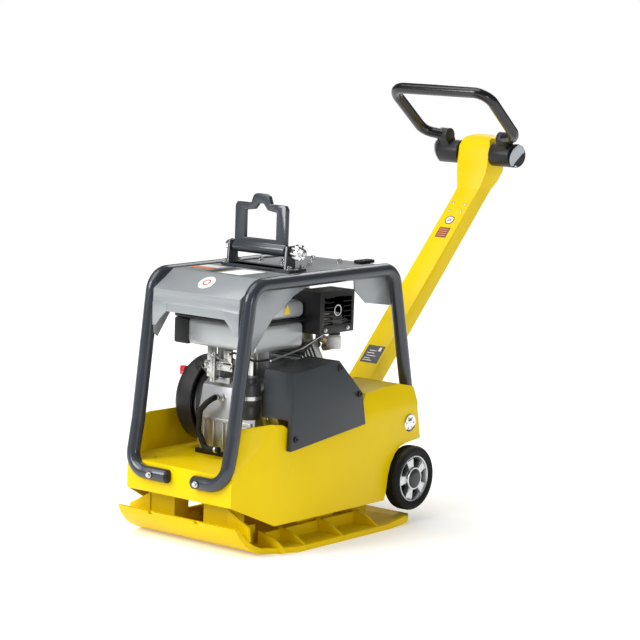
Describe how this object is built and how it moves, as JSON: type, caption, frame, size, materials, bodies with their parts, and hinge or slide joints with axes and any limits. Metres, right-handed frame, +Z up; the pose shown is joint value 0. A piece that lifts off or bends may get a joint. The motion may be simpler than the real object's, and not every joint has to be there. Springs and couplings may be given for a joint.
{
  "type": "plate compactor",
  "caption": "Reversible vibratory plate compactor with a twin-shaft exciter, petrol engine under a tube frame, wheels, folding pole and tilting handle.",
  "frame": {"origin": "on the ground at the middle of the flat sole of the base plate", "axes": "+Z up, +Y towards the operator and the handle, +X to the belt cover side"},
  "size_m": [0.5, 1.3235, 1.1453],
  "materials": {
    "yellow_paint": "gloss",
    "frame_paint": "gloss",
    "cover_plastic": "satin",
    "black_plastic": "satin",
    "black_paint": "satin",
    "rubber": "matte",
    "tyre": "matte",
    "alloy": "cast",
    "steel": "machined",
    "chrome": "bright",
    "tank_paint": "gloss",
    "red_plastic": "gloss",
    "milky_plastic": "satin"
  },
  "bodies": {
    "machine": {"air_cleaner": "black_plastic", "base_plate": "yellow_paint", "bearing_front_left": "steel", "bearing_front_right": "steel", "bearing_rear_left": "steel", "bearing_rear_right": "steel", "belt_cover": "cover_plastic", "breather_canister": "black_plastic", "buffer_front_left": "rubber", "buffer_front_right": "rubber", "buffer_rear_left": "rubber", "buffer_rear_right": "rubber", "canopy": "frame_paint", "carburettor": "alloy", "control_rod": "steel", "drain_hose": "rubber", "engine_bed": "steel", "engine_crankcase": "alloy", "engine_cylinder": "alloy", "exciter_cover_left": "yellow_paint", "exciter_cover_right": "yellow_paint", "exciter_housing": "yellow_paint", "eye_base": "frame_paint", "eye_pin": "chrome", "fluid_reservoir": "milky_plastic", "frame_hoop_left": "frame_paint", "frame_hoop_right": "frame_paint", "fuel_tank": "tank_paint", "muffler": "steel", "muffler_guard": "black_paint", "pole_pin": "steel", "recoil_cover": "black_paint", "upper_body": "yellow_paint", "v_belt": "rubber", "wheel_axle": "steel"},
    "crank": {"crankshaft": "steel", "clutch_pulley": "steel"},
    "eccentric_front": {"eccentric_shaft_front": "steel", "timing_gear_front": "steel", "exciter_pulley": "steel"},
    "eccentric_rear": {"eccentric_shaft_rear": "steel", "timing_gear_rear": "steel"},
    "wheel_right": {"tyre_right": "tyre", "wheel_rim_right": "alloy"},
    "wheel_left": {"tyre_left": "tyre", "wheel_rim_left": "alloy"},
    "pole": {"pole": "yellow_paint", "pole_bush_right": "rubber", "pole_bush_left": "rubber"},
    "handle": {"handle_shaft": "steel", "handle_hub_right": "black_plastic", "handle_hub_left": "black_plastic", "handle_loop": "rubber"},
    "lifting_bail": {"lifting_bail": "frame_paint"},
    "recoil_grip": {"recoil_grip": "black_plastic"},
    "engine_switch": {"engine_switch": "red_plastic"},
    "fuel_cap": {"fuel_cap": "black_plastic"},
    "throttle_lever": {"throttle_lever": "steel"},
    "choke_lever": {"choke_lever": "steel"},
    "oil_dipstick": {"oil_dipstick": "black_plastic"}
  },
  "joints": [
    {"name": "crank_spin", "type": "hinge", "parent": "machine", "child": "crank", "pos_m": [0, -0.041, 0.328], "axis": [1, 0, 0], "continuous": true},
    {"name": "eccentric_front_spin", "type": "hinge", "parent": "machine", "child": "eccentric_front", "pos_m": [0, 0.005, 0.105], "axis": [1, 0, 0], "continuous": true},
    {"name": "eccentric_rear_spin", "type": "hinge", "parent": "machine", "child": "eccentric_rear", "pos_m": [0, 0.075, 0.105], "axis": [1, 0, 0], "continuous": true},
    {"name": "wheel_right_spin", "type": "hinge", "parent": "machine", "child": "wheel_right", "pos_m": [0.219, 0.345, 0.118], "axis": [1, 0, 0], "continuous": true},
    {"name": "wheel_left_spin", "type": "hinge", "parent": "machine", "child": "wheel_left", "pos_m": [-0.219, 0.345, 0.118], "axis": [1, 0, 0], "continuous": true},
    {"name": "pole_fold", "type": "hinge", "parent": "machine", "child": "pole", "pos_m": [0, 0.33, 0.26], "axis": [1, 0, 0], "range_deg": [-20, 38]},
    {"name": "handle_tilt", "type": "hinge", "parent": "pole", "child": "handle", "pos_m": [0, 0.918, 0.95], "axis": [1, 0, 0], "range_deg": [-28, 28]},
    {"name": "bail_fold", "type": "hinge", "parent": "machine", "child": "lifting_bail", "pos_m": [0, -0.033, 0.733], "axis": [1, 0, 0], "range_deg": [-75, 75]},
    {"name": "recoil_pull", "type": "slide", "parent": "machine", "child": "recoil_grip", "axis": [-1, 0, 0], "range_m": [0, 0.35], "stiffness_N_per_m": 20},
    {"name": "switch_turn", "type": "hinge", "parent": "machine", "child": "engine_switch", "pos_m": [-0.196, -0.092, 0.398], "axis": [1, 0, 0], "range_deg": [0, 45]},
    {"name": "fuel_cap_turn", "type": "hinge", "parent": "machine", "child": "fuel_cap", "pos_m": [-0.009, -0.12, 0.62], "axis": [0, 0, 1], "range_deg": [0, 90]},
    {"name": "throttle_turn", "type": "hinge", "parent": "machine", "child": "throttle_lever", "pos_m": [-0.07, 0.056, 0.484], "axis": [1, 0, 0], "range_deg": [-25, 25]},
    {"name": "choke_turn", "type": "hinge", "parent": "machine", "child": "choke_lever", "pos_m": [-0.006, 0.044, 0.484], "axis": [1, 0, 0], "range_deg": [-25, 25]},
    {"name": "dipstick_turn", "type": "hinge", "parent": "machine", "child": "oil_dipstick", "pos_m": [0.052, -0.14, 0.262], "axis": [0, -1, 0], "range_deg": [0, 120]}
  ],
  "couplings": [
    {"joint": "eccentric_front_spin", "follows": "crank_spin", "ratio": 1.5},
    {"joint": "eccentric_rear_spin", "follows": "crank_spin", "ratio": -1.5}
  ]
}
